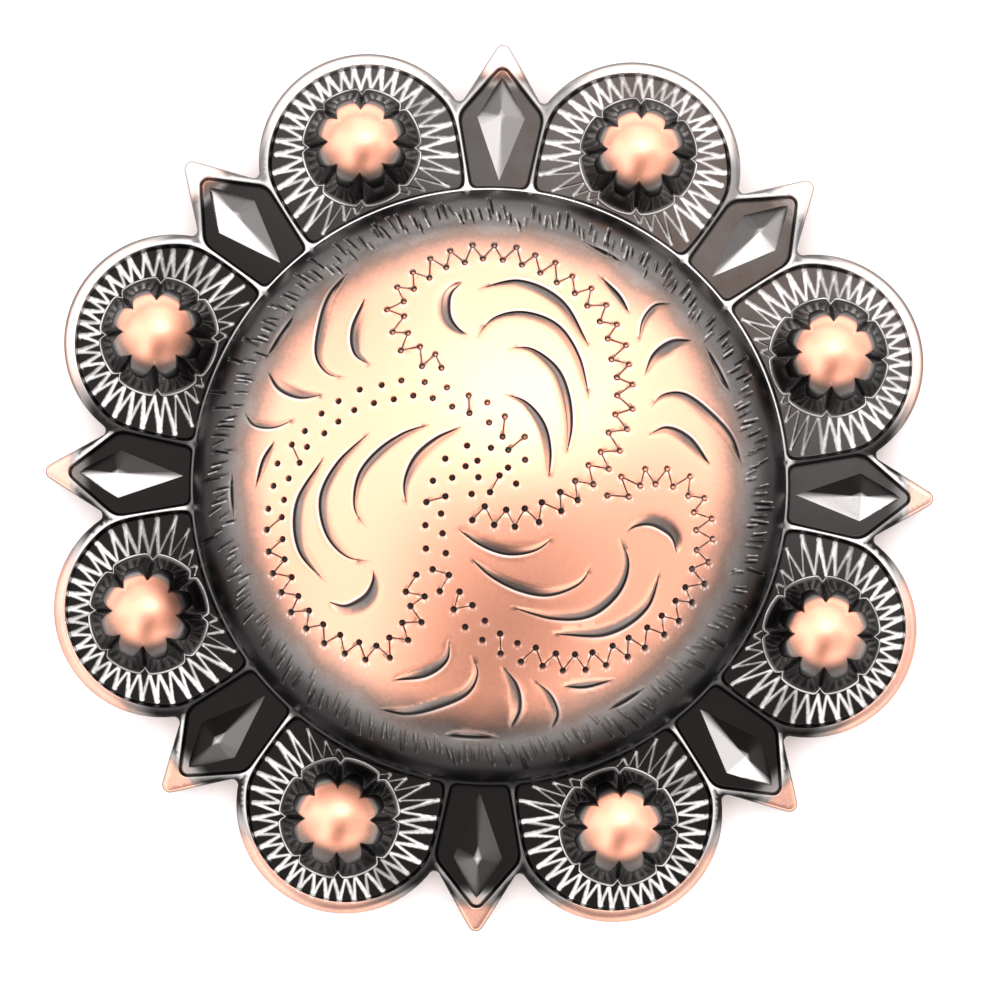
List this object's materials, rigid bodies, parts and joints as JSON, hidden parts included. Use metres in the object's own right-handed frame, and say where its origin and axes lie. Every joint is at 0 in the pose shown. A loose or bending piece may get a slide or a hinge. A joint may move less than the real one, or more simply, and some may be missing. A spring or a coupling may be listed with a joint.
{
  "type": "concho",
  "caption": "Domed round concho with lobes and points round its edge, fluted berries and a cored back with a threaded post for a screw.",
  "frame": {"origin": "centre of the flat back, where the screw enters", "axes": "+Z out of the decorated face, +Y through a spike to the top of the picture"},
  "size_m": [0.037, 0.037, 0.0066],
  "materials": {
    "antiqued_copper": "copper plate over cast zinc alloy, blackened and then burnished on the high places",
    "post_brass": "turned and tapped, plain"
  },
  "bodies": {
    "root": {"casting": "antiqued_copper", "screw_post": "post_brass"}
  },
  "joints": []
}
